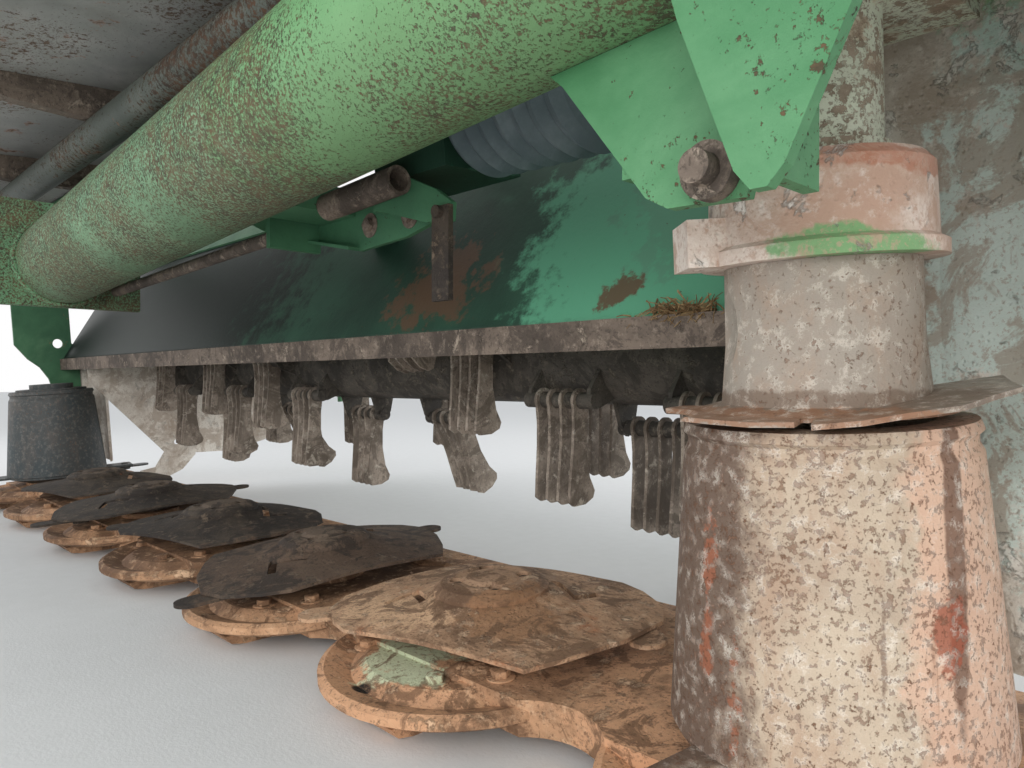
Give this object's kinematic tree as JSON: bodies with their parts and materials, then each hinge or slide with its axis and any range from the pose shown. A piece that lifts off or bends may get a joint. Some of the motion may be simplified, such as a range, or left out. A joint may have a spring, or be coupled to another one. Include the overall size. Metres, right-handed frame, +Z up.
{
  "type": "disc mower conditioner",
  "caption": "Carried disc mower with a tined conditioner rotor, end drums, hood, swath doors, lifting arm and hitch headstock, parked on its skids and stands.",
  "frame": {"origin": "bottom centre of the box around the whole machine, on the ground", "axes": "+X toward the hitch and drive end, +Y to the rear, +Z up"},
  "size_m": [4.14, 2.1731, 1.1501],
  "materials": {
    "green_paint": "Green paint over sheet steel, worn through to rust in patches",
    "rusty_steel": "Bare rolled steel, brown rust with mud",
    "bright_steel": "Bare turned steel",
    "drum_steel": "Rolled steel, pale and mottled with rust freckles",
    "black_rubber": "Ribbed rubber",
    "black_guard": "Moulded shaft guard"
  },
  "bodies": {
    "headstock": {"headstock": "green_paint"},
    "input_shaft": {"input_shaft": "bright_steel"},
    "front_stand": {"front_stand": "bright_steel"},
    "near_drum": {"near_drum": "drum_steel"},
    "far_drum": {"far_drum": "drum_steel"},
    "rotor": {"rotor": "rusty_steel", "tines": "rusty_steel"},
    "front_flap": {"front_flap": "green_paint"},
    "near_swath_door": {"near_swath_door": "green_paint"},
    "far_swath_door": {"far_swath_door": "green_paint"},
    "rear_stand": {"rear_stand": "bright_steel"},
    "lift_barrel": {"lift_barrel": "green_paint"},
    "lift_rod": {"lift_rod": "bright_steel"},
    "disc_1": {"disc_1": "rusty_steel"},
    "disc_2": {"disc_2": "rusty_steel"},
    "disc_3": {"disc_3": "rusty_steel"},
    "disc_4": {"disc_4": "rusty_steel"},
    "disc_5": {"disc_5": "rusty_steel"},
    "mowing_unit": {"cutterbar": "rusty_steel", "skid_shoes": "rusty_steel", "drive_shroud": "drum_steel", "drive_collar": "rusty_steel", "drive_column": "green_paint", "front_sheet": "green_paint", "lip_bar": "rusty_steel", "hood": "green_paint", "end_sheets": "green_paint", "crop_plates": "rusty_steel", "end_brackets": "green_paint", "main_arm": "green_paint", "arm_end_plate": "green_paint", "arm_gussets": "green_paint", "latch_pin": "bright_steel", "cover_tube": "rusty_steel", "hanger_bracket": "green_paint", "link_tube": "rusty_steel", "hanger_link": "rusty_steel", "unit_carrier": "green_paint", "upper_beam": "green_paint", "top_cover": "green_paint", "cover_ribs": "rusty_steel", "stand_sleeve": "green_paint", "rotor_drive": "green_paint", "shaft_bellows": "black_rubber", "cross_shaft": "bright_steel", "angle_gearbox": "green_paint", "driveline": "black_guard"}
  },
  "joints": [
    {"name": "arm_lift", "type": "hinge", "parent": "headstock", "child": "mowing_unit", "pos_m": [1.445, -0.6586, 0.767], "axis": [0, 1, 0], "range_deg": [0, 85]},
    {"name": "near_drum_spin", "type": "hinge", "parent": "mowing_unit", "child": "near_drum", "pos_m": [0.685, -0.38381, 0.1001], "axis": [0, -0.0698, 0.9976], "continuous": true},
    {"name": "disc_1_spin", "type": "hinge", "parent": "mowing_unit", "child": "disc_1", "pos_m": [0.235, -0.38381, 0.1001], "axis": [0, -0.0698, 0.9976], "continuous": true},
    {"name": "disc_2_spin", "type": "hinge", "parent": "mowing_unit", "child": "disc_2", "pos_m": [-0.185, -0.38381, 0.1001], "axis": [0, -0.0698, 0.9976], "continuous": true},
    {"name": "disc_3_spin", "type": "hinge", "parent": "mowing_unit", "child": "disc_3", "pos_m": [-0.605, -0.38381, 0.1001], "axis": [0, -0.0698, 0.9976], "continuous": true},
    {"name": "disc_4_spin", "type": "hinge", "parent": "mowing_unit", "child": "disc_4", "pos_m": [-1.025, -0.38381, 0.1001], "axis": [0, -0.0698, 0.9976], "continuous": true},
    {"name": "disc_5_spin", "type": "hinge", "parent": "mowing_unit", "child": "disc_5", "pos_m": [-1.445, -0.38381, 0.1001], "axis": [0, -0.0698, 0.9976], "continuous": true},
    {"name": "far_drum_spin", "type": "hinge", "parent": "mowing_unit", "child": "far_drum", "pos_m": [-1.865, -0.38381, 0.1001], "axis": [0, -0.0698, 0.9976], "continuous": true},
    {"name": "rotor_spin", "type": "hinge", "parent": "mowing_unit", "child": "rotor", "pos_m": [-0.605, 0.01767, 0.43692], "axis": [1, 0, 0], "continuous": true},
    {"name": "near_swath_door_turn", "type": "hinge", "parent": "mowing_unit", "child": "near_swath_door", "pos_m": [0.545, 0.59682, 0.4694], "axis": [0, -0.0698, 0.9976], "range_deg": [-20, 40]},
    {"name": "far_swath_door_turn", "type": "hinge", "parent": "mowing_unit", "child": "far_swath_door", "pos_m": [-1.755, 0.59682, 0.4694], "axis": [0, 0.0698, -0.9976], "range_deg": [-20, 40]},
    {"name": "front_flap_fold", "type": "hinge", "parent": "mowing_unit", "child": "front_flap", "pos_m": [-0.605, -0.92871, 0.95417], "axis": [1, 0, 0], "range_deg": [0, 262]},
    {"name": "rear_stand_slide", "type": "slide", "parent": "mowing_unit", "child": "rear_stand", "axis": [0, 0, 1], "range_m": [0, 0.2]},
    {"name": "front_stand_slide", "type": "slide", "parent": "headstock", "child": "front_stand", "axis": [0, 0, 1], "range_m": [0, 0.22]},
    {"name": "input_shaft_spin", "type": "hinge", "parent": "headstock", "child": "input_shaft", "pos_m": [1.445, -0.9866, 0.767], "axis": [0, 1, 0], "continuous": true},
    {"name": "lift_barrel_turn", "type": "hinge", "parent": "headstock", "child": "lift_barrel", "pos_m": [1.595, -0.6466, 0.937], "axis": [0, 1, 0], "range_deg": [-2, 87.7]},
    {"name": "lift_rod_slide", "type": "slide", "parent": "lift_barrel", "child": "lift_rod", "axis": [-1, 0, 0], "range_m": [-0.3082, 0.002]}
  ],
  "couplings": [
    {"joint": "disc_1_spin", "follows": "near_drum_spin", "ratio": -1},
    {"joint": "disc_2_spin", "follows": "near_drum_spin", "ratio": 1},
    {"joint": "disc_3_spin", "follows": "near_drum_spin", "ratio": -1},
    {"joint": "disc_4_spin", "follows": "near_drum_spin", "ratio": 1},
    {"joint": "disc_5_spin", "follows": "near_drum_spin", "ratio": -1},
    {"joint": "far_drum_spin", "follows": "near_drum_spin", "ratio": 1},
    {"joint": "lift_barrel_turn", "follows": "arm_lift", "ratio": 1.0079},
    {"joint": "lift_rod_slide", "follows": "arm_lift", "m_per_rad": -0.20643}
  ]
}
